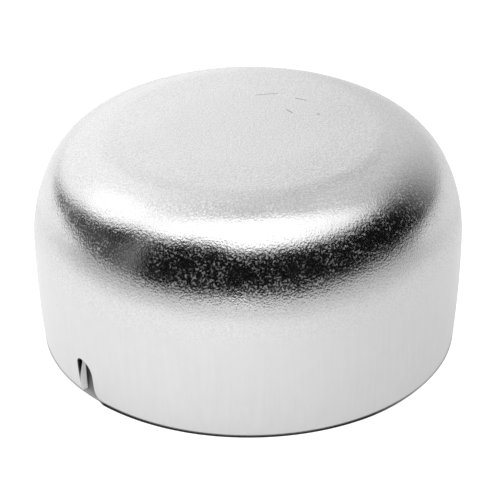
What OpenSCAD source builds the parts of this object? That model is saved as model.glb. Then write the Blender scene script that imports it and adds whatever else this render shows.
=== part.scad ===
// Hub grease cap: one cup drawn from steel sheet, plated with zinc.
// It stands on its rim with the mouth down. The origin is the centre of the rim,
// +Z is the axis of the cup, and the slot in the rim is at the front left.

/* [Mouth] */
// Bore of the mouth, which grips the boss of the hub
bore_d = 60; // [56:0.5:64]
// Height of the straight seat inside the mouth
seat_h = 5; // [3:0.5:6]
// How far the wall swells past the bore, measured inside on the radius
swell = 0.4; // [0.2:0.05:0.6]
// Round of the rim's outer edge
rim_outer_r = 0.25; // [0.1:0.05:0.3]
// Round of the rim's inner edge, which leads the cap onto the boss
rim_inner_r = 0.25; // [0.1:0.05:0.3]

/* [Cup] */
// Thickness of the sheet
sheet_t = 1.4; // [1.2:0.1:2]
// Height over all
cap_h = 33.3; // [28:0.1:40]
// Outside radius of the shoulder, just above the widest place
shoulder_r = 22.2; // [20:0.1:26]
// Outside radius of the knuckle between shoulder and crown
knuckle_r = 12.1; // [9:0.1:13]
// How far the knuckle stays inside the widest place, which the shoulder makes up
knuckle_in = 1; // [0.4:0.1:2.5]
// Outside radius of the low crown
crown_r = 640; // [300:10:1200]
// How far the press pad flattens the crown in its middle
pad_dip = 0.11; // [0.05:0.01:0.2]

/* [Pry slot] */
// Turn of the slot about the axis, from +X, in degrees
slot_turn = -139.1; // [-180:0.1:0]
// Width of the slot
slot_w = 3.1; // [2.4:0.1:6]
// Height of the slot above the rim
slot_h = 6.2; // [5:0.1:10]
// Round of the slot's top at the left, seen from outside
slot_left_r = 0.9; // [0.3:0.1:1.5]
// Round of the slot's top at the right
slot_right_r = 2.1; // [0.5:0.1:2.4]
// Round where the slot's left side meets the rim
slot_left_foot_r = 0.4; // [0.2:0.1:1.5]
// Round where the slot's right side meets the rim
slot_right_foot_r = 2; // [0.5:0.1:2.5]

/* [Hidden] */
$fn = 360;

// Overlap that lets a cut run clear of what it cuts
past = 1;

bore_r = bore_d / 2;
// Widest outside radius of the cup
cap_r = bore_r + swell + sheet_t;

// Centres of the arcs, in the half section where x is the radius and y the height.
// Each arc is tangent to the next, so two neighbours share the line through their centres.
crown_c = [0, cap_h + pad_dip - crown_r];
knuckle_x = cap_r - knuckle_r - knuckle_in;
knuckle_c = [knuckle_x, crown_c.y + sqrt(pow(crown_r - knuckle_r, 2) - pow(knuckle_x, 2))];
crown_turn = atan2(knuckle_c.y - crown_c.y, knuckle_c.x - crown_c.x);
shoulder_turn = acos(1 - knuckle_in / (shoulder_r - knuckle_r));
// Height of the widest place, where shoulder and skirt meet
belly_z = knuckle_c.y - (shoulder_r - knuckle_r) * sin(shoulder_turn);
shoulder_c = [cap_r - shoulder_r, belly_z];
// The skirt's inside arc leaves the seat at seat_h and is upright at belly_z
skirt_rise = belly_z - seat_h;
skirt_r = (pow(swell, 2) + pow(skirt_rise, 2)) / (2 * swell) + sheet_t;
skirt_c = [cap_r - skirt_r, belly_z];

// Unit vector at a turn from +X
function way(turn) = [cos(turn), sin(turn)];

// Slice of a disc about c, between two turns less than 120 degrees apart
module slice(c, r, from, to) {
    reach = 1.01 * r / cos((to - from) / 2);
    intersection() {
        translate(c) circle(r);
        polygon([c, c + reach * way(from), c + reach * way((from + to) / 2), c + reach * way(to)]);
    }
}

// Half section of the full form, with its outside moved in by inset and its foot at foot_z.
// Each smaller disc lies within its neighbours, so it overlaps them across the shared lines.
module form(inset, foot_z) {
    intersection() {
        union() {
            intersection() {
                translate(skirt_c) circle(skirt_r - inset);
                translate([0, foot_z]) square([cap_r, belly_z - foot_z]);
            }
            slice(shoulder_c, shoulder_r - inset, shoulder_turn - 80, shoulder_turn);
            translate(knuckle_c) circle(knuckle_r - inset);
            slice(crown_c, crown_r - inset, crown_turn, 90);
        }
        translate([0, foot_z]) square([cap_r, cap_h - inset - foot_z]);
    }
}

// What comes off a corner whose round of radius r has its centre at c,
// between the turns of its two tangent points
module corner_waste(c, r, from, to) {
    reach = 4 * r;
    difference() {
        polygon([c, c + reach * way(from), c + reach * way((from + to) / 2), c + reach * way(to)]);
        translate(c) circle(r);
    }
}

// The hollow that the punch leaves, with the seat sized into the mouth
module hollow() {
    rotate_extrude() form(sheet_t, -past);
    translate([0, 0, -past]) cylinder(r = bore_r, h = seat_h + past);
}

// Ring that comes off the rim's outer edge, where the leaning skirt meets the floor
module outer_rim_waste() {
    x = skirt_c.x + sqrt(pow(skirt_r - rim_outer_r, 2) - pow(belly_z - rim_outer_r, 2));
    c = [x, rim_outer_r];
    lean = atan2(c.y - skirt_c.y, c.x - skirt_c.x);
    rotate_extrude() corner_waste(c, rim_outer_r, -90, lean);
}

// Ring that comes off the rim's inner edge
module inner_rim_waste() {
    rotate_extrude() corner_waste([bore_r + rim_inner_r, rim_inner_r], rim_inner_r, 180, 270);
}

// Widening of the slot at a foot, where its side at x = 0 rounds into the rim
module foot_flare(r) {
    difference() {
        translate([-past / 2, -past]) square([r + past / 2, r + past]);
        translate([r, r]) circle(r);
    }
}

// Outline of the slot, with x along the rim and y upwards
module slot_outline() {
    half = slot_w / 2;
    left_r = min(slot_left_r, half);
    right_r = min(slot_right_r, slot_w - left_r);
    difference() {
        translate([-half, -past]) square([slot_w, slot_h + past]);
        corner_waste([left_r - half, slot_h - left_r], left_r, 90, 180);
        corner_waste([half - right_r, slot_h - right_r], right_r, 0, 90);
    }
    translate([half, 0]) foot_flare(slot_right_foot_r);
    translate([-half, 0]) mirror([1, 0]) foot_flare(slot_left_foot_r);
}

// Prism that cuts the slot through the wall
module slot_cut() {
    rotate(slot_turn)
        translate([bore_r - sheet_t, 0, 0])
            rotate([90, 0, 90])
                linear_extrude(swell + 3 * sheet_t) slot_outline();
}

module cap() {
    color("gainsboro")
        difference() {
            rotate_extrude() form(0, 0);
            hollow();
            outer_rim_waste();
            inner_rim_waste();
            slot_cut();
        }
}

cap();
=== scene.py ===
"""Hub grease cap, drawn from steel sheet and zinc plated, standing on its rim on a pale floor."""

import logging
import math
from dataclasses import dataclass
from enum import Enum
from typing import Union

import bpy
import numpy as np
from mathutils import Matrix, Vector

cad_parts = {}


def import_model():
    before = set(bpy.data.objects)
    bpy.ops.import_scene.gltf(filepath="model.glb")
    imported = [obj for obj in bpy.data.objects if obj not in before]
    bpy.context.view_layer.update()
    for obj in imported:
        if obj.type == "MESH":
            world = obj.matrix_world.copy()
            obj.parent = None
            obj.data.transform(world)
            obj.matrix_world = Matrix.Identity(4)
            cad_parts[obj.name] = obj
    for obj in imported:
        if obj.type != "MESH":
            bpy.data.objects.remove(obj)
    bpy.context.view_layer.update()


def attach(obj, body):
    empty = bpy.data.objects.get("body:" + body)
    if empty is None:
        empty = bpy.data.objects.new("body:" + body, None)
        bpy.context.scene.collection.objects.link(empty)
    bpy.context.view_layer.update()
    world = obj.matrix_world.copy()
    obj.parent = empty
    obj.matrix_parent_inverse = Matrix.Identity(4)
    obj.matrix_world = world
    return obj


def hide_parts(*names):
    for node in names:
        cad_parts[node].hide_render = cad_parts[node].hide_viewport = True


LOG = logging.getLogger("hub_grease_cap")

MM = 0.001
SEED = 973
QUARTER = math.pi / 2.0

CAP_NODE = "cap"
BODY = "root"
SLOT_NAME = "zinc_plated_steel"

Socket = bpy.types.NodeSocket
Level = Union[bpy.types.NodeSocket, float]


class Lip(Enum):
    """Which surface of the sheet a row of the shell's lower grid lies on."""

    OUTER = "outer"
    INNER = "inner"


@dataclass(frozen=True)
class Fade:
    """A smooth step, by where it starts and where it ends."""

    start: float
    stop: float


@dataclass(frozen=True)
class RowPlan:
    """How many rows of the grid each part of one surface gets."""

    skirt: int
    shoulder: int
    knuckle: int
    crown: int
    flat: int


@dataclass(frozen=True)
class EdgePlan:
    """How many columns each part of the slot's edge gets, from its left foot to its right one."""

    left_foot: int
    left_side: int
    left_top: int
    right_top: int
    right_side: int
    right_foot: int


OUTER_ROWS = RowPlan(skirt=26, shoulder=12, knuckle=30, crown=8, flat=9)
INNER_ROWS = RowPlan(skirt=18, shoulder=8, knuckle=18, crown=5, flat=6)
SLOT_COLUMNS = EdgePlan(left_foot=7, left_side=14, left_top=9, right_top=14, right_side=7, right_foot=13)
# Columns on each half of the rim, which crowd towards the slot by this power
RIM_COLUMNS = 205
RIM_CROWDING = 1.12
# Rows of the skirt, which crowd towards the edge by this power
ROW_CROWDING = 1.15
# Steps round each lip of the sheet's edge
EDGE_ROWS = 5
# Shares of the flat's radius at its first and last row
FLAT_EDGE = 0.97
FLAT_MIDDLE = 0.03
# Distance from the slot over which the columns spread out to even places
SPREAD_REACH = 42.0 * MM
# Height below which the edge counts as the rim
RIM_LEVEL = 0.5 * MM
# Depth in the sheet at which the outer lip's round ends, as a share
ROUND_DEPTH = 0.15


# Geometry of the cup


def section_arc(x: float, z: float, r: float, turns: np.ndarray) -> np.ndarray:
    """Points on an arc of the section: x + r * cos(turn) and z + r * sin(turn).

    Args:
        x: radius at which the arc's centre lies.
        z: height of the centre.
        r: radius of the arc.
        turns: turns of the points from the level.
    Returns:
        Rows (radius, height, turn).
    """
    return np.stack([x + r * np.cos(turns), z + r * np.sin(turns), turns], 1)


@dataclass(frozen=True)
class Cup:
    """Half section of the cup: a chain of tangent arcs with one sheet thickness.

    The skirt, the shoulder, the knuckle and the crown follow each other from the rim to the
    axis. Lengths are in metres, x is the radius and z the height above the rim's plane.
    """

    bore_r: float = 30.0 * MM
    seat_h: float = 5.0 * MM
    swell: float = 0.4 * MM
    sheet: float = 1.4 * MM
    height: float = 33.3 * MM
    shoulder_r: float = 22.2 * MM
    knuckle_r: float = 12.1 * MM
    knuckle_in: float = 1.0 * MM
    crown_r: float = 640.0 * MM
    pad_dip: float = 0.11 * MM
    rim_round: float = 0.25 * MM

    @property
    def widest_r(self) -> float:
        """Returns: the widest outside radius."""
        return self.bore_r + self.swell + self.sheet

    @property
    def crown_z(self) -> float:
        """Returns: the height of the crown arc's centre, which lies on the axis."""
        return self.height + self.pad_dip - self.crown_r

    @property
    def knuckle_x(self) -> float:
        """Returns: the radius at which the knuckle arc's centre lies."""
        return self.widest_r - self.knuckle_r - self.knuckle_in

    @property
    def knuckle_z(self) -> float:
        """Returns: the height of the knuckle arc's centre."""
        reach = self.crown_r - self.knuckle_r
        return self.crown_z + math.sqrt(reach**2 - self.knuckle_x**2)

    @property
    def crown_turn(self) -> float:
        """Returns: the turn from the level at which the knuckle becomes the crown."""
        return math.atan2(self.knuckle_z - self.crown_z, self.knuckle_x)

    @property
    def shoulder_turn(self) -> float:
        """Returns: the turn at which the shoulder becomes the knuckle."""
        return math.acos(1.0 - self.knuckle_in / (self.shoulder_r - self.knuckle_r))

    @property
    def belly_z(self) -> float:
        """Returns: the height of the widest place."""
        reach = self.shoulder_r - self.knuckle_r
        return self.knuckle_z - reach * math.sin(self.shoulder_turn)

    @property
    def skirt_r(self) -> float:
        """Returns: the outside radius of the skirt's gentle arc."""
        rise = self.belly_z - self.seat_h
        return (self.swell**2 + rise**2) / (2.0 * self.swell) + self.sheet

    def wall(self, z: np.ndarray, depth: np.ndarray) -> np.ndarray:
        """Radius of the skirt at a height, some depth into the sheet.

        The depth runs level from the outside to the inside, where the seat is a cylinder. Each
        arc is centre + sqrt(r^2 - drop^2), with the drop measured from the widest place.

        Args:
            z: heights between the rim and the widest place.
            depth: 0 on the outside to 1 on the inside.
        Returns:
            The radii.
        """
        centre = self.widest_r - self.skirt_r
        drop = self.belly_z - z
        outer = centre + np.sqrt(self.skirt_r**2 - drop**2)
        arc = centre + np.sqrt(np.maximum((self.skirt_r - self.sheet) ** 2 - drop**2, 0.0))
        inner = np.where(z <= self.seat_h, self.bore_r, arc)
        return outer + (inner - outer) * depth

    def upper(self, inset: float, rows: RowPlan) -> np.ndarray:
        """Section from the widest place to just short of the axis: three arcs and a level flat.

        Args:
            inset: how far inside the outer surface the section runs.
            rows: how many rows each part gets.
        Returns:
            Rows (radius, height, turn of the normal from the level).
        """
        shoulder = np.linspace(0.0, self.shoulder_turn, rows.shoulder, endpoint=False)[1:]
        knuckle = np.linspace(self.shoulder_turn, self.crown_turn, rows.knuckle, endpoint=False)
        crown_r = self.crown_r - inset
        flat_z = self.height - inset
        flat_turn = math.asin((flat_z - self.crown_z) / crown_r)
        crown = np.linspace(self.crown_turn, flat_turn, rows.crown, endpoint=False)
        flat_x = crown_r * math.cos(flat_turn) * np.linspace(FLAT_EDGE, FLAT_MIDDLE, rows.flat)
        shoulder_x = self.widest_r - self.shoulder_r
        return np.concatenate(
            [
                section_arc(shoulder_x, self.belly_z, self.shoulder_r - inset, shoulder),
                section_arc(self.knuckle_x, self.knuckle_z, self.knuckle_r - inset, knuckle),
                section_arc(0.0, self.crown_z, crown_r, crown),
                np.stack([flat_x, np.full(rows.flat, flat_z), np.full(rows.flat, QUARTER)], 1),
            ]
        )


def slot_round(x: float, z: float, r: float, turns: np.ndarray, inward: float) -> np.ndarray:
    """Points of a round on the slot's edge: centre + r * way, with inward * way into the sheet.

    Args:
        x: place of the centre along the rim.
        z: height of the centre.
        r: radius of the round.
        turns: turns of the points from the rim's line.
        inward: 1 where the sheet lies outside the round, -1 where it lies inside.
    Returns:
        Rows (x, z, inward x, inward z).
    """
    way = np.stack([np.cos(turns), np.sin(turns)], 1)
    return np.hstack([np.array([x, z]) + r * way, inward * way])


def slot_side(x: float, z: np.ndarray, inward: float) -> np.ndarray:
    """Points of a straight side of the slot, whose way into the sheet is level.

    Args:
        x: place of the side along the rim.
        z: heights of the points.
        inward: 1 where the sheet lies to the right, -1 where it lies to the left.
    Returns:
        Rows (x, z, inward x, inward z).
    """
    return np.stack([x + 0.0 * z, z, inward + 0.0 * z, 0.0 * z], 1)


@dataclass(frozen=True)
class PrySlot:
    """The slot in the rim, seen from outside with x along the rim and z upwards."""

    turn: float = math.radians(-139.1)
    width: float = 3.1 * MM
    height: float = 6.2 * MM
    left_r: float = 0.9 * MM
    right_r: float = 2.1 * MM
    left_foot_r: float = 0.4 * MM
    right_foot_r: float = 2.0 * MM
    edge_round: float = 0.12 * MM

    def outline(self) -> np.ndarray:
        """Edge of the slot from the rim on its left to the rim on its right.

        Four quarter rounds and two straight sides follow each other, and the last point lies
        on the rim.

        Returns:
            Rows (x, z, inward x, inward z), where inward points from the edge into the sheet.
        """
        half = self.width / 2.0
        plan = SLOT_COLUMNS
        left_top = self.height - self.left_r
        right_top = self.height - self.right_r
        left_foot_x = -half - self.left_foot_r
        right_foot_x = half + self.right_foot_r

        def places(start: float, stop: float, count: int) -> np.ndarray:
            """Returns: even places from the start to just before the stop."""
            return np.linspace(start, stop, count, endpoint=False)

        left_foot = places(-QUARTER, 0.0, plan.left_foot)
        left_side = places(self.left_foot_r, left_top, plan.left_side)
        left_turns = places(math.pi, QUARTER, plan.left_top)
        right_turns = places(QUARTER, 0.0, plan.right_top)
        right_side = places(right_top, self.right_foot_r, plan.right_side)
        right_foot = places(math.pi, 1.5 * math.pi, plan.right_foot)
        return np.concatenate(
            [
                slot_round(left_foot_x, self.left_foot_r, self.left_foot_r, left_foot, -1.0),
                slot_side(-half, left_side, -1.0),
                slot_round(self.left_r - half, left_top, self.left_r, left_turns, 1.0),
                slot_round(half - self.right_r, right_top, self.right_r, right_turns, 1.0),
                slot_side(half, right_side, 1.0),
                slot_round(right_foot_x, self.right_foot_r, self.right_foot_r, right_foot, -1.0),
                np.array([[right_foot_x, 0.0, 0.0, 1.0]]),
            ]
        )


@dataclass(frozen=True)
class Wear:
    """Small ways in which the pressed and handled cup differs from its drawing."""

    oval: float = 0.12 * MM
    oval_turn: float = math.radians(-140.0)
    bend: float = 0.20 * MM
    bend_reach: float = 14.0 * MM
    bend_h: float = 6.0 * MM
    ripple: float = 0.022 * MM
    ripple_length: float = 13.0 * MM
    ripple_shortest: float = 0.6
    ripple_longest: float = 1.7
    ripple_sink: float = 1.6
    ripple_from: float = 2.0 * MM
    ripple_over: float = 6.0 * MM
    waves: int = 26

    def inward(self, along: np.ndarray, turn: np.ndarray, z: np.ndarray, cup: Cup) -> np.ndarray:
        """How far the wall stands inside its drawing, near the mouth.

        The mouth is slightly oval, oval * cos(2 * angle), and is bent in beside the slot by a
        bell curve along the rim. Both fade with the height.

        Args:
            along: distance along the rim from the slot's middle.
            turn: azimuth of each point.
            z: height of each point.
            cup: the section.
        Returns:
            The distances, positive towards the axis.
        """
        low = np.clip(1.0 - z / cup.belly_z, 0.0, 1.0)
        oval = self.oval * np.cos(2.0 * (turn - self.oval_turn)) * low
        bell = np.exp(-((along / self.bend_reach) ** 2))
        return oval + self.bend * bell * np.clip(1.0 - z / self.bend_h, 0.0, 1.0) ** 2

    def ripples(self, points: np.ndarray) -> np.ndarray:
        """Soft unevenness left by the press, as a sum of seeded plane waves.

        Args:
            points: positions, with the last axis holding x, y and z.
        Returns:
            One height for each point, at most about 0.
        """
        rng = np.random.default_rng(SEED)
        way = rng.normal(size=(self.waves, 3))
        way /= np.linalg.norm(way, axis=1)[:, None]
        share = rng.uniform(self.ripple_shortest, self.ripple_longest, self.waves)
        length = self.ripple_length * share
        phase = rng.uniform(0.0, 2.0 * math.pi, self.waves)
        total = np.zeros(points.shape[:-1])
        for i in range(self.waves):
            total += np.sin(points @ (way[i] * 2.0 * math.pi / length[i]) + phase[i])
        return self.ripple * (total / math.sqrt(self.waves) - self.ripple_sink)


class Shell:
    """The whole cup as one closed grid: outside, rim and slot edge, inside, and two poles.

    Each column starts at the axis outside, runs down the cup to the lower edge, turns round
    the sheet and climbs inside to the axis again. Beside the slot the lower edge climbs round
    the slot's outline, and the columns fan out from it to the widest place.
    """

    def __init__(self, cup: Cup, slot: PrySlot, wear: Wear) -> None:
        """Sets out the columns.

        Args:
            cup: the section.
            slot: the slot in the rim.
            wear: the departures from the drawing.
        """
        self.cup = cup
        self.slot = slot
        self.wear = wear
        self.rim_r = float(cup.wall(np.array(0.0), np.array(0.0)))
        self.half_way = math.pi * self.rim_r
        self.edge = self._lower_edge()
        self.belly_x = self._belly_places()

    def _rim(self, start: float, stop: float) -> np.ndarray:
        """Edge along the rim, with places start + (stop - start) * share^power.

        Args:
            start: place beside the slot.
            stop: place at the back.
        Returns:
            Rows (x along the rim, z, inward x, inward z).
        """
        share = np.linspace(0.0, 1.0, RIM_COLUMNS) ** RIM_CROWDING
        x = start + (stop - start) * share
        return np.stack([x, 0.0 * x, 0.0 * x, 0.0 * x + 1.0], 1)

    def _lower_edge(self) -> np.ndarray:
        """Lower edge of the sheet once round, from the back to the back again.

        Returns:
            Rows (x along the rim, z, inward x, inward z), from left to right.
        """
        outline = self.slot.outline()
        left = self._rim(outline[0, 0], -self.half_way)[:0:-1]
        right = self._rim(outline[-1, 0], self.half_way)[1:-1]
        return np.concatenate([left, outline, right])

    def _belly_places(self) -> np.ndarray:
        """Where each column crosses the widest place.

        Along each side of the slot the edge is longer than the rim below it. The places take
        up that surplus smoothly over the reach: x = length - surplus * smoothstep(length / reach).

        Returns:
            x along the rim for each column.
        """
        step = np.hypot(np.diff(self.edge[:, 0]), np.diff(self.edge[:, 1]))
        length = np.concatenate([[0.0], np.cumsum(step)])
        inside = np.abs(self.edge[:, 0]) < self.slot.width / 2.0
        middle = np.argmax(np.where(inside, self.edge[:, 1], -1.0))
        length = length - length[middle]
        places = np.zeros(len(length))
        for sign in (-1.0, 1.0):
            side = sign * length > 0.0
            own = sign * length[side]
            end = -self.edge[0, 0] if sign < 0 else self.half_way
            last = own.max() if sign < 0 else own.max() + (self.half_way - self.edge[-1, 0])
            surplus = last - end
            t = np.clip(own / SPREAD_REACH, 0.0, 1.0)
            places[side] = sign * (own - surplus * t * t * (3.0 - 2.0 * t))
        return places

    def _row(self, x: np.ndarray, z: np.ndarray, depth: np.ndarray) -> np.ndarray:
        """One row of the lower grid: (r * cos turn, r * sin turn, z), with r from the worn wall.

        Args:
            x: distance along the rim from the slot's middle.
            z: height.
            depth: 0 outside to 1 inside.
        Returns:
            Positions.
        """
        turn = self.slot.turn + x / self.rim_r
        r = self.cup.wall(z, depth) - self.wear.inward(x, turn, z, self.cup)
        return np.stack([r * np.cos(turn), r * np.sin(turn), z], -1)

    def _lower(self, lip: Lip, rows: int) -> list[np.ndarray]:
        """Rows between the widest place and the rounded edge, from the top down.

        Args:
            lip: which surface of the sheet.
            rows: how many rows.
        Returns:
            One array of positions for each row.
        """
        rounded = self._round_of()
        start = self.edge[:, :2] + self.edge[:, 2:] * rounded[:, None]
        depth = np.full(len(rounded), 0.0 if lip is Lip.OUTER else 1.0)
        made = []
        for share in np.linspace(1.0, 0.0, rows, endpoint=False):
            rise = share**ROW_CROWDING
            x = start[:, 0] + (self.belly_x - start[:, 0]) * rise
            z = start[:, 1] + (self.cup.belly_z - start[:, 1]) * rise
            made.append(self._row(x, z, depth))
        return made

    def _round_of(self) -> np.ndarray:
        """Returns: the edge's round at each column, larger on the rim than in the slot."""
        rim = np.clip(self.edge[:, 3] * (self.edge[:, 1] < RIM_LEVEL), 0, 1)
        return self.slot.edge_round + (self.cup.rim_round - self.slot.edge_round) * rim

    def _edge_rows(self) -> list[np.ndarray]:
        """Rows round the edge of the sheet, from the outside to the inside.

        A quarter round has distance r * (1 - cos a) from the edge and depth r * (1 - sin a).

        Returns:
            One array of positions for each row.
        """
        r = self._round_of()
        made = []
        for lip in (Lip.OUTER, Lip.INNER):
            turns = np.linspace(QUARTER, 0.0, EDGE_ROWS + 1)
            if lip is Lip.INNER:
                turns = turns[::-1]
            for a in turns:
                into = r * (1.0 - math.cos(a))
                deep = r * (1.0 - math.sin(a)) / self.cup.sheet
                depth = deep if lip is Lip.OUTER else 1.0 - deep
                x = self.edge[:, 0] + self.edge[:, 2] * into
                z = self.edge[:, 1] + self.edge[:, 3] * into
                made.append(self._row(x, z, depth))
        return made

    def _upper(self, inset: float, rows: RowPlan) -> tuple[list[np.ndarray], list[float]]:
        """Rows above the widest place, from the axis down.

        Args:
            inset: how far inside the outer surface.
            rows: how many rows each arc gets.
        Returns:
            Positions of each row, and the turn of its normal.
        """
        turn = self.slot.turn + self.belly_x / self.rim_r
        made, leans = [], []
        for r, z, lean in self.cup.upper(inset, rows)[::-1]:
            made.append(np.stack([r * np.cos(turn), r * np.sin(turn), np.full(len(turn), z)], -1))
            leans.append(lean)
        return made, leans

    def _rippled(self, grid: np.ndarray, leans: np.ndarray) -> np.ndarray:
        """Moves the grid along its normals by the ripples, which fade out towards the rim.

        Args:
            grid: positions.
            leans: turn of each row's normal from the level.
        Returns:
            The moved grid.
        """
        azimuth = np.arctan2(grid[..., 1], grid[..., 0])
        reach = np.cos(leans)[:, None]
        rise = np.sin(leans)[:, None] + 0.0 * azimuth
        normal = np.stack([reach * np.cos(azimuth), reach * np.sin(azimuth), rise], -1)
        above = (grid[..., 2] - self.wear.ripple_from) / self.wear.ripple_over
        height = self.wear.ripples(grid) * np.clip(above, 0.0, 1.0)
        return grid + normal * height[..., None]

    @staticmethod
    def _faces(rows: int, columns: int) -> np.ndarray:
        """Faces between neighbouring rows and columns, and the fans at both poles.

        Args:
            rows: rows of the grid.
            columns: columns of the grid, the last beside the first.
        Returns:
            Four indices to a face, with the last repeated for a triangle.
        """
        index = np.arange(rows * columns).reshape(rows, columns)
        right = np.roll(index, -1, axis=1)
        quads = np.stack([index[:-1], index[1:], right[1:], right[:-1]], -1).reshape(-1, 4)
        top = np.full(columns, rows * columns)
        under = top + 1
        top_fan = np.stack([top, index[0], right[0], right[0]], -1)
        under_fan = np.stack([under, right[-1], index[-1], index[-1]], -1)
        return np.concatenate([quads, top_fan, under_fan])

    @staticmethod
    def _marks(shape: tuple[int, int], first: int, count: int) -> dict[str, np.ndarray]:
        """Numbers that the finish reads at each vertex.

        Args:
            shape: rows and columns of the grid.
            first: the first row of the edge.
            count: how many rows the edge has.
        Returns:
            By name: whether a vertex is on the cut edge, its depth in the sheet there from 0
            outside to 1 inside, and whether it is inside.
        """
        half = count // 2
        cut = np.zeros(shape)
        cut[first + 1 : first + count - 1] = 1.0
        depth = np.zeros(shape)
        depth[first : first + half] = np.linspace(0.0, ROUND_DEPTH, half)[:, None]
        depth[first + half : first + count] = np.linspace(1.0 - ROUND_DEPTH, 1.0, half)[:, None]
        within = np.zeros(shape)
        within[first + half :] = 1.0
        return {
            "cut": np.concatenate([cut.ravel(), [0.0, 0.0]]),
            "depth": np.concatenate([depth.ravel(), [0.0, 1.0]]),
            "within": np.concatenate([within.ravel(), [0.0, 1.0]]),
        }

    def build(self) -> tuple[np.ndarray, np.ndarray, dict[str, np.ndarray]]:
        """Makes the vertices and faces.

        Returns:
            Vertices, faces as four indices, and the numbers of each vertex by name.
        """
        outer, outer_leans = self._upper(0.0, OUTER_ROWS)
        low_outer = self._lower(Lip.OUTER, OUTER_ROWS.skirt)
        edge = self._edge_rows()
        low_inner = self._lower(Lip.INNER, INNER_ROWS.skirt)[::-1]
        inner, inner_leans = self._upper(self.cup.sheet, INNER_ROWS)
        level = [0.0] * (len(low_outer) + len(edge) + len(low_inner))
        leans = np.array(outer_leans + level + inner_leans[::-1])
        grid = np.stack(outer + low_outer + edge + low_inner + inner[::-1])
        grid = self._rippled(grid, leans)
        poles = np.array([[0.0, 0.0, grid[0, :, 2].mean()], [0.0, 0.0, grid[-1, :, 2].mean()]])
        verts = np.concatenate([grid.reshape(-1, 3), poles])
        faces = self._faces(grid.shape[0], grid.shape[1])
        marks = self._marks(grid.shape[:2], len(outer) + len(low_outer), len(edge))
        return verts, faces, marks


def make_mesh(name: str, verts: np.ndarray, faces: np.ndarray) -> bpy.types.Object:
    """Makes a smooth mesh object from arrays.

    Args:
        name: the object's name.
        verts: positions.
        faces: four indices to a face, the last repeated for a triangle.
    Returns:
        The object, linked to the scene.
    """
    mesh = bpy.data.meshes.new(name)
    quad = faces[:, 2] != faces[:, 3]
    sizes = np.where(quad, 4, 3)
    starts = np.concatenate([[0], np.cumsum(sizes)[:-1]])
    keep = np.ones(faces.shape, bool)
    keep[~quad, 3] = False
    mesh.vertices.add(len(verts))
    mesh.vertices.foreach_set("co", verts.astype(np.float32).ravel())
    mesh.loops.add(int(sizes.sum()))
    mesh.loops.foreach_set("vertex_index", faces[keep].astype(np.int32))
    mesh.polygons.add(len(faces))
    mesh.polygons.foreach_set("loop_start", starts.astype(np.int32))
    mesh.polygons.foreach_set("loop_total", sizes.astype(np.int32))
    mesh.update(calc_edges=True)
    mesh.validate()
    mesh.shade_smooth()
    obj = bpy.data.objects.new(name, mesh)
    bpy.context.scene.collection.objects.link(obj)
    LOG.info("%s: %d vertices, %d faces", name, len(verts), len(faces))
    return obj


def add_attribute(obj: bpy.types.Object, name: str, values: np.ndarray) -> None:
    """Stores one number for each vertex, which the material reads by name.

    Args:
        obj: a mesh object.
        name: the attribute's name.
        values: one value for each vertex.
    """
    layer = obj.data.attributes.new(name, "FLOAT", "POINT")
    layer.data.foreach_set("value", values.astype(np.float32))


# Materials


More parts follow.
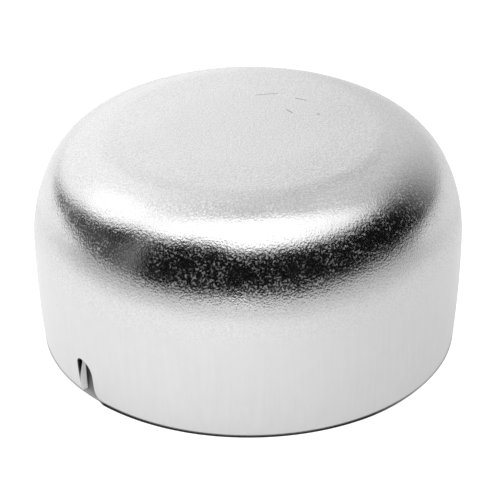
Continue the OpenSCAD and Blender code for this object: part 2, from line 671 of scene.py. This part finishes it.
class Graph:
    """A small helper that adds and links shader nodes."""

    NOISE_ROUGHNESS = 0.55
    NOISE_MIDDLE = 0.5

    def __init__(self, tree: bpy.types.NodeTree) -> None:
        """Empties the tree.

        Args:
            tree: the node tree to fill.
        """
        self.tree = tree
        tree.nodes.clear()

    def node(self, kind: str, **settings: object) -> bpy.types.Node:
        """Adds a node.

        Args:
            kind: the node's type name.
            settings: attributes to set on it.
        Returns:
            The node.
        """
        made = self.tree.nodes.new(kind)
        for key, value in settings.items():
            setattr(made, key, value)
        return made

    def put(self, socket: Socket, value: object) -> None:
        """Links or sets a socket.

        Args:
            socket: the input.
            value: another socket, or a plain value.
        """
        if isinstance(value, bpy.types.NodeSocket):
            self.tree.links.new(value, socket)
        else:
            socket.default_value = value

    def math(self, operation: str, a: Level, b: Level = 0.0) -> Socket:
        """Adds a Math node.

        Args:
            operation: what it does.
            a: first value.
            b: second value.
        Returns:
            Its result.
        """
        made = self.node("ShaderNodeMath", operation=operation)
        self.put(made.inputs[0], a)
        self.put(made.inputs[1], b)
        return made.outputs[0]

    def add(self, first: Level, *others: Level) -> Socket:
        """Adds values up, from left to right.

        Args:
            first: first value.
            others: what is added to it.
        Returns:
            The sum.
        """
        for value in others:
            first = self.math("ADD", first, value)
        return first

    def times(self, first: Level, *others: Level) -> Socket:
        """Multiplies values, from left to right.

        Args:
            first: first value.
            others: what it is multiplied by.
        Returns:
            The product.
        """
        for value in others:
            first = self.math("MULTIPLY", first, value)
        return first

    def less(self, a: Level, b: Level) -> Socket:
        """Returns: the first value less the second."""
        return self.math("SUBTRACT", a, b)

    def step(self, value: Level, fade: Fade, before: Level = 0.0, after: Level = 1.0) -> Socket:
        """Adds a smooth step from one level to another.

        Args:
            value: what decides.
            fade: where the step starts and ends.
            before: level before the step.
            after: level after it.
        Returns:
            The level.
        """
        made = self.node("ShaderNodeMapRange", interpolation_type="SMOOTHSTEP")
        for socket, given in zip(made.inputs[:5], (value, fade.start, fade.stop, before, after)):
            self.put(socket, given)
        return made.outputs[0]

    def mix(self, factor: Level, a: Level, b: Level) -> Socket:
        """Mixes two numbers.

        Args:
            factor: share of the second.
            a: first number.
            b: second number.
        Returns:
            The mixed number.
        """
        made = self.node("ShaderNodeMix", data_type="FLOAT")
        self.put(made.inputs[0], factor)
        self.put(made.inputs[2], a)
        self.put(made.inputs[3], b)
        return made.outputs[0]

    def noise(
        self,
        place: Socket,
        size: float,
        detail: float,
        stretch: tuple[float, float, float] = (1.0, 1.0, 1.0),
    ) -> Socket:
        """Adds a noise whose features have a real size.

        Args:
            place: the coordinates, in metres.
            size: about how large a feature is, in metres.
            detail: how many finer layers it has.
            stretch: factor on each axis.
        Returns:
            The noise, from 0 to 1.
        """
        moved = self.node("ShaderNodeMapping")
        self.put(moved.inputs["Vector"], place)
        moved.inputs["Scale"].default_value = stretch
        made = self.node("ShaderNodeTexNoise")
        self.put(made.inputs["Vector"], moved.outputs[0])
        self.put(made.inputs["Scale"], 1.0 / size)
        self.put(made.inputs["Detail"], detail)
        self.put(made.inputs["Roughness"], self.NOISE_ROUGHNESS)
        return made.outputs["Fac"]

    def attribute(self, name: str) -> Socket:
        """Returns: the number stored at each vertex under a name."""
        return self.node("ShaderNodeAttribute", attribute_name=name).outputs["Fac"]

    def split(self, vector: Socket) -> list[Socket]:
        """Splits a vector.

        Args:
            vector: the vector.
        Returns:
            Its x, y and z.
        """
        made = self.node("ShaderNodeSeparateXYZ")
        self.put(made.inputs[0], vector)
        return list(made.outputs)

    def grey(self, value: Level) -> Socket:
        """Makes a neutral colour of one number.

        Args:
            value: the level.
        Returns:
            The colour.
        """
        made = self.node("ShaderNodeCombineColor")
        for socket in made.inputs[:3]:
            self.put(socket, value)
        return made.outputs[0]


@dataclass(frozen=True)
class ZincFinish:
    """Satin zinc plate on a drawn cup.

    Grain is the fine orange peel of the stretched sheet, flecks are its dull spots, which
    cluster in patches, and streaks run up the skirt. The slot's face is sheared near the
    outside and torn further in. The sheared part's nearly black tone is a painted dark reflection.
    """

    tone: float = 0.80
    tone_mottle: float = 0.05
    tone_grain: float = 0.55
    tone_streak: float = 0.05
    roughness: float = 0.13
    roughness_mottle: float = 0.06
    grain: float = 0.30 * MM
    grain_depth: float = 0.034 * MM
    grain_layers: float = 2.0
    grain_below_belly: float = 4.0 * MM
    grain_above_belly: float = 5.0 * MM
    skirt_grain: float = 0.2
    fleck: Fade = Fade(0.48, 0.66)
    fleck_patch: Fade = Fade(0.38, 0.62)
    fleck_between: float = 0.28
    fleck_roughness: float = 0.44
    mottle: float = 2.6 * MM
    mottle_depth: float = 0.012 * MM
    mottle_layers: float = 3.0
    streak: float = 0.5 * MM
    streak_depth: float = 0.004 * MM
    streak_layers: float = 2.0
    streak_squash: float = 0.03
    # Nearly black tone of the sheared face: a painted dark reflection.
    sheared_dark_reflection_tone: float = 0.10
    sheared_roughness: float = 0.25
    torn_tone: float = 0.90
    torn_roughness: float = 0.45
    torn_metal: float = 0.1
    tear_rise: Fade = Fade(1.5 * MM, 6.0 * MM)
    tear_low: float = 0.05
    tear_high: float = 0.6
    tear_edge: Fade = Fade(-0.04, 0.04)
    inside_tone: float = 0.66
    inside_roughness: float = 0.38
    speck_cell: float = 5.0 * MM
    speck_r: float = 0.14 * MM
    speck_over: float = 0.55
    mark_strength: float = 0.4
    mark_tone: float = 0.12
    mark_roughness: float = 0.6


@dataclass(frozen=True)
class Scratch:
    """One hairline on the crown, from one point to another, in metres.

    The ends and the sides fade over shares of its length and of its width.
    """

    start: tuple[float, float]
    stop: tuple[float, float]
    width: float
    end_shares: Fade = Fade(0.35, 0.5)
    side_shares: Fade = Fade(0.3, 0.7)
    top_reach: float = 2.0 * MM

    def mask(self, g: Graph, x: Socket, y: Socket, z: Socket, cup: Cup) -> Socket:
        """Where the hairline shows, by the distance from its line and from its middle.

        Args:
            g: the graph.
            x: object x.
            y: object y.
            z: object z.
            cup: the section, whose top alone is marked.
        Returns:
            1 on the line and 0 elsewhere.
        """
        mid = ((self.start[0] + self.stop[0]) / 2.0, (self.start[1] + self.stop[1]) / 2.0)
        run = (self.stop[0] - self.start[0], self.stop[1] - self.start[1])
        length = math.hypot(*run)
        way = (run[0] / length, run[1] / length)
        dx = g.less(x, mid[0])
        dy = g.less(y, mid[1])
        along = g.add(g.times(dx, way[0]), g.times(dy, way[1]))
        across = g.less(g.times(dx, way[1]), g.times(dy, way[0]))
        ends = Fade(length * self.end_shares.start, length * self.end_shares.stop)
        sides = Fade(self.width * self.side_shares.start, self.width * self.side_shares.stop)
        inside = g.step(g.math("ABSOLUTE", along), ends, 1.0, 0.0)
        thin = g.step(g.math("ABSOLUTE", across), sides, 1.0, 0.0)
        top = g.math("GREATER_THAN", z, cup.height - self.top_reach)
        return g.times(inside, thin, top)


class ZincPlate:
    """The plated steel, with its grain, streaks, specks, hairlines and cut faces."""

    def __init__(self, finish: ZincFinish, cup: Cup, scratches: tuple[Scratch, ...]) -> None:
        """Starts the material and the patterns that its parts share.

        Args:
            finish: its numbers.
            cup: the section, whose heights place the grain and the streaks.
            scratches: hairlines on the crown.
        """
        self.finish = finish
        self.cup = cup
        self.scratches = scratches
        self.material = bpy.data.materials.new(SLOT_NAME)
        self.material.use_nodes = True
        self.g = Graph(self.material.node_tree)
        g = self.g
        self.place = g.node("ShaderNodeTexCoord").outputs["Object"]
        self.x, self.y, self.z = g.split(self.place)
        self.cut = g.attribute("cut")
        self.within = g.attribute("within")
        self.grain = g.noise(self.place, finish.grain, finish.grain_layers)
        self.mottle = g.noise(self.place, finish.mottle, finish.mottle_layers)
        squash = (1.0, 1.0, finish.streak_squash)
        self.streak = g.noise(self.place, finish.streak, finish.streak_layers, squash)
        belly = cup.belly_z
        rise = Fade(belly - finish.grain_below_belly, belly + finish.grain_above_belly)
        self.high = g.step(self.z, rise)
        self.low = g.less(1.0, self.high)
        self.torn = self._torn()
        self.mark = self._mark()

    def _torn(self) -> Socket:
        """Returns: 1 where the slot's face is torn, which starts deeper in the sheet higher up."""
        f, g = self.finish, self.g
        sheared = g.step(self.z, f.tear_rise, f.tear_low, f.tear_high)
        return g.step(g.less(g.attribute("depth"), sheared), f.tear_edge)

    def _mark(self) -> Socket:
        """Specks and hairlines.

        A speck is a ball round the middle of a Voronoi cell, with its size from the cell's
        colour, and only cells past a level of that colour have one.

        Returns:
            1 on a mark and 0 elsewhere.
        """
        f, g = self.finish, self.g
        cells = g.node("ShaderNodeTexVoronoi", feature="F1")
        g.put(cells.inputs["Vector"], self.place)
        g.put(cells.inputs["Scale"], 1.0 / f.speck_cell)
        cell = g.node("ShaderNodeSeparateColor")
        g.put(cell.inputs[0], cells.outputs["Color"])
        reach = g.times(cell.outputs[0], f.speck_r / f.speck_cell)
        near = g.math("LESS_THAN", cells.outputs["Distance"], reach)
        mark = g.times(near, g.math("GREATER_THAN", cell.outputs[1], f.speck_over))
        for line in self.scratches:
            mark = g.math("MAXIMUM", mark, line.mask(g, self.x, self.y, self.z, self.cup))
        return mark

    def _relief(self) -> Socket:
        """Returns: the height of the grain, the mottle and the streaks, in metres."""
        f, g = self.finish, self.g
        high_grain = g.times(self.grain, self.high, f.grain_depth)
        low_grain = g.times(self.grain, self.low, f.grain_depth * f.skirt_grain)
        mottle = g.times(self.mottle, f.mottle_depth)
        streak = g.times(self.streak, self.low, f.streak_depth)
        return g.add(high_grain, low_grain, mottle, streak)

    def _tone(self) -> Socket:
        """Returns: the tone outside, inside, on the cut faces and on the marks."""
        f, g = self.finish, self.g
        tone = g.add(f.tone - f.tone_mottle / 2.0, g.times(self.mottle, f.tone_mottle))
        streak = g.less(self.streak, g.NOISE_MIDDLE)
        grain = g.less(self.grain, g.NOISE_MIDDLE)
        tone = g.add(tone, g.times(streak, g.times(self.low, f.tone_streak)))
        tone = g.add(tone, g.times(grain, g.times(self.high, f.tone_grain)))
        tone = g.mix(self.within, tone, f.inside_tone)
        # The sheared part of the cut face takes a nearly black tone, a painted dark reflection.
        tone = g.mix(self.cut, tone, g.mix(self.torn, f.sheared_dark_reflection_tone, f.torn_tone))
        return g.mix(g.times(self.mark, f.mark_strength), tone, f.mark_tone)

    def _roughness(self) -> Socket:
        """Returns: the roughness outside, inside, on flecks, on the cut faces and on the marks."""
        f, g = self.finish, self.g
        rough = g.add(f.roughness - f.roughness_mottle / 2.0, g.times(self.mottle, f.roughness_mottle))
        rough = g.mix(self.within, rough, f.inside_roughness)
        patch = g.step(self.mottle, f.fleck_patch, f.fleck_between, 1.0)
        fleck = g.times(g.step(self.grain, f.fleck), patch)
        rough = g.mix(g.times(fleck, self.high), rough, f.fleck_roughness)
        rough = g.mix(self.cut, rough, g.mix(self.torn, f.sheared_roughness, f.torn_roughness))
        return g.mix(self.mark, rough, f.mark_roughness)

    def build(self) -> bpy.types.Material:
        """Joins the parts in one shader.

        Returns:
            The material.
        """
        g = self.g
        bump = g.node("ShaderNodeBump")
        g.put(bump.inputs["Strength"], 1.0)
        g.put(bump.inputs["Distance"], 1.0)
        g.put(bump.inputs["Height"], self._relief())
        shader = g.node("ShaderNodeBsdfPrincipled")
        g.put(shader.inputs["Base Color"], g.grey(self._tone()))
        torn_face = g.times(self.cut, self.torn)
        g.put(shader.inputs["Metallic"], g.mix(torn_face, 1.0, self.finish.torn_metal))
        g.put(shader.inputs["Roughness"], self._roughness())
        g.put(shader.inputs["Normal"], bump.outputs[0])
        out = g.node("ShaderNodeOutputMaterial")
        g.put(out.inputs["Surface"], shader.outputs[0])
        return self.material


# Studio


@dataclass(frozen=True)
class Heading:
    """Sockets of one direction: x to the right, y away from the camera and z up.

    aside and away are x and y as shares of the direction's level reach.
    """

    x: Socket
    y: Socket
    z: Socket
    aside: Socket
    away: Socket


@dataclass(frozen=True)
class Room:
    """The room round the cap: pale walls behind it, a soft light overhead, and a dim front."""

    dark: float = 0.005
    dark_left: float = 0.20
    dark_side: float = 0.08
    left_pane: float = -0.90
    pane_edge: Fade = Fade(0.02, 0.06)
    side_edge: Fade = Fade(-1.0, -0.85)
    haze: float = 0.45
    haze_height: Fade = Fade(0.0, 0.09)
    haze_side: Fade = Fade(0.3, 0.85)
    wall_left: float = 1.06
    wall_left_edge: Fade = Fade(0.58, 0.96)
    wall_left_slope: float = 1.46
    wall_right: float = 0.78
    wall_right_edge: Fade = Fade(0.15, 1.15)
    wall_seam: Fade = Fade(-0.1, 0.15)
    beam: float = 0.17
    beam_height: Fade = Fade(0.475, 0.56)
    beam_away: Fade = Fade(0.88, 0.98)
    ceiling: float = 0.70
    ceiling_height: Fade = Fade(0.68, 1.0)
    ceiling_slope: float = 0.25
    ceiling_away: Fade = Fade(0.0, 0.4)
    panel: float = 1.35
    panel_way: tuple[float, float, float] = (-0.718, 0.192, 0.669)
    panel_edge: Fade = Fade(0.93, 0.985)
    light: float = 1.5
    light_height: Fade = Fade(0.60, 0.76)
    light_sag: float = -0.03
    light_tilt: float = 0.07
    light_front: Fade = Fade(-0.08, 0.08)
    light_skew: float = 0.25
    light_right: Fade = Fade(0.25, 0.6)
    light_right_share: float = 0.74
    flag: float = 0.08
    flag_way: tuple[float, float] = (-0.53, -0.85)
    flag_edge: Fade = Fade(0.93, 0.99)
    horizon: Fade = Fade(-0.04, 0.0)
    horizon_away: Fade = Fade(0.0, 0.3)
    below: float = 0.45
    below_edge: Fade = Fade(-0.2, -0.1)
    least_reach: float = 0.001

    def _heading(self, g: Graph) -> Heading:
        """Splits the direction of a ray.

        Args:
            g: the graph.
        Returns:
            Its parts.
        """
        x, y, z = g.split(g.node("ShaderNodeTexCoord").outputs["Generated"])
        flat = g.math("SQRT", g.less(1.0, g.times(z, z)))
        flat = g.math("MAXIMUM", flat, self.least_reach)
        return Heading(x, y, z, g.math("DIVIDE", x, flat), g.math("DIVIDE", y, flat))

    def _walls(self, g: Graph, way: Heading) -> Socket:
        """Walls behind the cap, with a darker strip where the light's beam hides them.

        The left wall starts where y + slope * z passes its edge, and the right one fades in
        with the share of y.

        Args:
            g: the graph.
            way: the direction.
        Returns:
            Their level, or the dim room's where that is higher.
        """
        slope = g.add(way.y, g.times(way.z, self.wall_left_slope))
        left = g.step(slope, self.wall_left_edge, 0.0, self.wall_left)
        right = g.step(way.away, self.wall_right_edge, 0.0, self.wall_right)
        wall = g.mix(g.step(way.x, self.wall_seam), left, right)
        level = g.math("MAXIMUM", wall, self._dim(g, way))
        behind = g.times(g.step(way.z, self.beam_height), g.step(way.away, self.beam_away))
        return g.times(level, g.less(1.0, g.times(behind, self.beam)))

    def _dim(self, g: Graph, way: Heading) -> Socket:
        """The dim front, with a narrow pane at the left and a haze low at the right.

        Args:
            g: the graph.
            way: the direction.
        Returns:
            Its level.
        """
        pane = g.math("ABSOLUTE", g.less(way.aside, self.left_pane))
        dim = g.step(pane, self.pane_edge, self.dark_left, self.dark)
        dim = g.math("MAXIMUM", dim, g.step(way.x, self.side_edge, self.dark_side, 0.0))
        haze = g.times(g.step(way.z, self.haze_height, self.haze, 0.0), g.step(way.x, self.haze_side))
        return g.math("MAXIMUM", dim, haze)

    def _overhead(self, g: Graph, way: Heading, level: Socket) -> Socket:
        """Lays the ceiling and the small panel at the left over a level.

        Args:
            g: the graph.
            way: the direction.
            level: what lies behind them.
        Returns:
            The new level.
        """
        over = g.step(g.add(way.z, g.times(way.x, self.ceiling_slope)), self.ceiling_height)
        over = g.times(over, g.step(way.away, self.ceiling_away))
        level = g.mix(over, level, self.ceiling)
        px, py, pz = self.panel_way
        panel = g.add(g.times(way.x, px), g.times(way.y, py), g.times(way.z, pz))
        return g.mix(g.step(panel, self.panel_edge), level, self.panel)

    def _front_light(self, g: Graph, way: Heading, level: Socket) -> Socket:
        """Hangs the broad light over the front and lays it over a level.

        It shines where z + tilt * y + sag * |x| passes its height, less at the right, and a
        flag at the front left cuts its lower edge.

        Args:
            g: the graph.
            way: the direction.
            level: what lies behind it.
        Returns:
            The new level.
        """
        tilt = g.add(g.times(g.math("ABSOLUTE", way.x), self.light_sag), g.times(way.y, self.light_tilt))
        ahead = g.add(g.times(way.aside, self.flag_way[0]), g.times(way.away, self.flag_way[1]))
        flag = g.step(ahead, self.flag_edge, 0.0, self.flag)
        high = g.step(g.less(g.add(way.z, tilt), flag), self.light_height)
        near = g.step(g.less(way.y, g.times(way.x, self.light_skew)), self.light_front, 1.0, 0.0)
        lit = g.step(way.x, self.light_right, self.light, self.light * self.light_right_share)
        return g.mix(g.times(high, near), level, lit)

    def build(self) -> None:
        """Makes the world. What a camera ray sees of it is plain white."""
        world = bpy.data.worlds.new("studio")
        world.use_nodes = True
        bpy.context.scene.world = world
        g = Graph(world.node_tree)
        way = self._heading(g)
        level = self._walls(g, way)
        level = self._overhead(g, way, level)
        level = self._front_light(g, way, level)
        far = g.step(way.y, self.horizon_away, self.dark, self.wall_right)
        level = g.mix(g.step(way.z, self.horizon), far, level)
        level = g.mix(g.step(way.z, self.below_edge), self.below, level)
        level = g.mix(g.node("ShaderNodeLightPath").outputs["Is Camera Ray"], level, 1.0)
        back = g.node("ShaderNodeBackground")
        g.put(back.inputs["Color"], g.grey(level))
        g.put(back.inputs["Strength"], 1.0)
        out = g.node("ShaderNodeOutputWorld")
        g.put(out.inputs["Surface"], back.outputs[0])
        LOG.info("studio: %d nodes", len(world.node_tree.nodes))


@dataclass(frozen=True)
class Floor:
    """Pale floor, a disc with a painted contact shadow along the cap's foot, clear from below.

    Distances from the foot are positive outside it. The painted contact shadow, a dark line on the
    floor, starts beside the slot and thins out at the right. A clear hole under the cup lets light into
    its mouth.
    """

    r: float = 1000.0 * MM
    sides: int = 96
    tone: float = 0.62
    # Painted contact shadow: its nearly black floor tone, its width in the gap and its ends along the
    # foot.
    contact_shadow_tone: float = 0.02
    contact_shadow_gap: Fade = Fade(0.1 * MM, 0.35 * MM)
    contact_shadow_start: float = 1.6 * MM
    contact_shadow_start_fade: float = 1.0 * MM
    contact_shadow_end: Fade = Fade(16.0 * MM, 27.0 * MM)
    seen_glow: float = 0.95
    # The camera glow is held back within this gap at the foot, where the painted contact shadow shows.
    contact_gap: float = 0.16 * MM
    contact_fade: float = 0.25 * MM
    free_gap: float = -0.2 * MM
    glow_left: float = 0.41
    glow_right: float = 0.22
    glow_seam: Fade = Fade(-20.0 * MM, 70.0 * MM)
    glow_foot: Fade = Fade(0.1 * MM, 0.4 * MM)
    glow_near: Fade = Fade(72.0 * MM, 160.0 * MM)
    glow_away: Fade = Fade(0.0, 60.0 * MM)
    glow_away_share: float = 1.2
    hole_r: float = 16.0 * MM

    @staticmethod
    def _gap(g: Graph, x: Socket, y: Socket, r: Socket, shell: Shell) -> Socket:
        """Distance of a point on the floor from the foot of the cup.

        It follows the oval and the bend of the wall: r - rim + oval * cos(2 * angle) + bend * bell.

        Args:
            g: the graph.
            x: floor x.
            y: floor y.
            r: distance from the axis.
            shell: the cup's grid.
        Returns:
            The distance, in metres.
        """
        wear = shell.wear
        way = (math.cos(wear.oval_turn), math.sin(wear.oval_turn))
        along = g.add(g.times(x, way[0]), g.times(y, way[1]))
        share = g.math("DIVIDE", along, g.math("MAXIMUM", r, MM))
        double = g.less(g.times(share, share, 2.0), 1.0)
        gap = g.add(g.less(r, shell.rim_r), g.times(double, wear.oval))
        dx = g.less(x, shell.rim_r * math.cos(shell.slot.turn))
        dy = g.less(y, shell.rim_r * math.sin(shell.slot.turn))
        off = g.add(g.times(dx, dx), g.times(dy, dy))
        bell = g.math("EXPONENT", g.math("DIVIDE", off, -(wear.bend_reach**2)))
        return g.add(gap, g.times(bell, wear.bend))

    def _painted_shadow_span(self, g: Graph, x: Socket, shell: Shell) -> Socket:
        """Where the painted contact shadow shows, from the slot's right foot to the right side.

        Args:
            g: the graph.
            x: floor x.
            shell: the cup's grid.
        Returns:
            1 along the painted shadow and 0 past its ends.
        """
        start = shell.rim_r * math.cos(shell.slot.turn) + self.contact_shadow_start
        begun = g.step(x, Fade(start, start + self.contact_shadow_start_fade))
        return g.times(begun, g.step(x, self.contact_shadow_end, 1.0, 0.0))

    def _material(self, shell: Shell) -> bpy.types.Material:
        """Makes the floor's material.

        It is matt, and glows a little: evenly for the camera, up to the painted contact shadow at
        the foot, and by its place for the cap's reflections.

        Args:
            shell: the cup's grid, along whose foot the contact shadow is painted.
        Returns:
            The material.
        """
        material = bpy.data.materials.new("floor")
        material.use_nodes = True
        g = Graph(material.node_tree)
        x, y, _ = g.split(g.node("ShaderNodeTexCoord").outputs["Object"])
        r = g.math("SQRT", g.add(g.times(x, x), g.times(y, y)))
        gap = self._gap(g, x, y, r, shell)
        shadow_span = self._painted_shadow_span(g, x, shell)
        path = g.node("ShaderNodeLightPath")
        seen = path.outputs["Is Camera Ray"]

        # The camera glow stops short of the foot, so the painted contact shadow shows there.
        clear_of = g.less(gap, g.mix(shadow_span, self.free_gap, self.contact_gap))
        seen_glow = g.times(g.step(clear_of, Fade(0.0, self.contact_fade)), g.times(seen, self.seen_glow))
        near = g.step(r, self.glow_near, 1.0, 0.0)
        spread = g.math("MAXIMUM", near, g.step(y, self.glow_away, 0.0, self.glow_away_share))
        side = g.step(x, self.glow_seam, self.glow_left, self.glow_right)
        mirrored = g.times(path.outputs["Is Glossy Ray"], g.times(side, spread))
        # Reflections of the floor go dark at the foot: painted shade for the rim's round.
        mirrored = g.times(g.step(gap, self.glow_foot), mirrored)
        glow = g.node("ShaderNodeEmission")
        g.put(glow.inputs["Strength"], g.add(mirrored, seen_glow))

        # Painted contact shadow: the floor's colour turns nearly black in the gap at the foot.
        line = g.times(shadow_span, g.step(gap, self.contact_shadow_gap, 1.0, 0.0))
        matt = g.node("ShaderNodeBsdfDiffuse")
        g.put(matt.inputs["Color"], g.grey(g.mix(line, self.tone, self.contact_shadow_tone)))
        both = g.node("ShaderNodeAddShader")
        g.put(both.inputs[0], matt.outputs[0])
        g.put(both.inputs[1], glow.outputs[0])

        from_below = g.times(g.node("ShaderNodeNewGeometry").outputs["Backfacing"], seen)
        hole = g.math("LESS_THAN", r, self.hole_r)
        clear = g.node("ShaderNodeMixShader")
        g.put(clear.inputs[0], g.math("MAXIMUM", hole, from_below))
        g.put(clear.inputs[1], both.outputs[0])
        g.put(clear.inputs[2], g.node("ShaderNodeBsdfTransparent").outputs[0])
        out = g.node("ShaderNodeOutputMaterial")
        g.put(out.inputs["Surface"], clear.outputs[0])
        return material

    def build(self, shell: Shell) -> bpy.types.Object:
        """Lays the floor, a regular polygon (r * cos turn, r * sin turn) at the rim's plane.

        Args:
            shell: the cup's grid, along whose foot the contact shadow is painted.
        Returns:
            The floor.
        """
        turns = np.linspace(0.0, 2.0 * math.pi, self.sides, endpoint=False)
        verts = np.stack([self.r * np.cos(turns), self.r * np.sin(turns), 0.0 * turns], 1)
        mesh = bpy.data.meshes.new("floor")
        mesh.from_pydata(verts.tolist(), [], [list(range(self.sides))])
        mesh.materials.append(self._material(shell))
        floor = bpy.data.objects.new("floor", mesh)
        bpy.context.scene.collection.objects.link(floor)
        LOG.info("floor: %.0f mm across", 2.0 * self.r / MM)
        return floor


@dataclass(frozen=True)
class Lamp:
    """A soft lamp at the front, which lights matt faces and shows in no reflection."""

    watts: float = 2.0
    size: float = 120.0 * MM
    place: tuple[float, float, float] = (-50.0 * MM, -580.0 * MM, 170.0 * MM)

    def build(self) -> bpy.types.Object:
        """Hangs the lamp, turned towards the cap's foot.

        Returns:
            The lamp.
        """
        data = bpy.data.lights.new("lamp", "AREA")
        data.shape = "DISK"
        data.size = self.size
        data.energy = self.watts
        lamp = bpy.data.objects.new("lamp", data)
        bpy.context.scene.collection.objects.link(lamp)
        lamp.location = self.place
        lamp.rotation_euler = Vector(self.place).to_track_quat("Z", "Y").to_euler()
        lamp.visible_camera = False
        lamp.visible_glossy = False
        LOG.info("lamp: %.1f W", self.watts)
        return lamp


@dataclass(frozen=True)
class Shot:
    """The photograph's camera, which stands in front and looks down at the cup."""

    distance: float = 334.6 * MM
    elevation: float = math.radians(29.2423)
    target_z: float = 12.63 * MM
    focal_px: float = 2233.3
    roll: float = math.radians(-0.4917)
    shift_x: float = 0.0037
    shift_y: float = 0.001
    frame_px: float = 500.0
    sensor_mm: float = 36.0
    clip_start: float = 10.0 * MM
    clip_end: float = 10000.0 * MM

    def build(self) -> bpy.types.Object:
        """Places the camera.

        Returns:
            The camera.
        """
        data = bpy.data.cameras.new("camera")
        data.sensor_width = self.sensor_mm
        data.lens = self.focal_px / self.frame_px * self.sensor_mm
        data.shift_x = self.shift_x
        data.shift_y = self.shift_y
        data.clip_start = self.clip_start
        data.clip_end = self.clip_end
        camera = bpy.data.objects.new("camera", data)
        bpy.context.scene.collection.objects.link(camera)
        back = self.distance * math.cos(self.elevation)
        rise = self.distance * math.sin(self.elevation)
        camera.location = (0.0, -back, self.target_z + rise)
        tilt = Matrix.Rotation(QUARTER - self.elevation, 3, "X")
        camera.rotation_euler = (tilt @ Matrix.Rotation(self.roll, 3, "Z")).to_euler()
        bpy.context.scene.camera = camera
        LOG.info("camera: %.0f mm lens", data.lens)
        return camera


HAIRLINES = (
    Scratch((1.0 * MM, 10.6 * MM), (5.0 * MM, 11.3 * MM), 0.2 * MM),
    Scratch((7.0 * MM, 9.6 * MM), (9.0 * MM, 8.7 * MM), 0.24 * MM),
    Scratch((5.7 * MM, 5.9 * MM), (6.8 * MM, 4.2 * MM), 0.2 * MM),
    Scratch((10.3 * MM, 4.1 * MM), (10.7 * MM, 3.9 * MM), 0.4 * MM),
)


def build_cap(shell: Shell) -> bpy.types.Object:
    """Builds the cup and stands it in for its CAD node.

    Args:
        shell: the cup's grid.
    Returns:
        The cup.
    """
    verts, faces, marks = shell.build()
    piece = make_mesh("cap_shell", verts, faces)
    for name, values in marks.items():
        add_attribute(piece, name, values)
    piece.data.materials.append(ZincPlate(ZincFinish(), shell.cup, HAIRLINES).build())
    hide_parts(CAP_NODE)
    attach(piece, BODY)
    return piece


def main() -> None:
    """Builds the scene."""
    logging.basicConfig(level=logging.INFO, format="%(name)s: %(message)s")
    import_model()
    Shot().build()
    shell = Shell(Cup(), PrySlot(), Wear())
    build_cap(shell)
    Floor().build(shell)
    Room().build()
    Lamp().build()
    bpy.context.scene.view_settings.view_transform = "Standard"


if __name__ == "__main__":
    main()
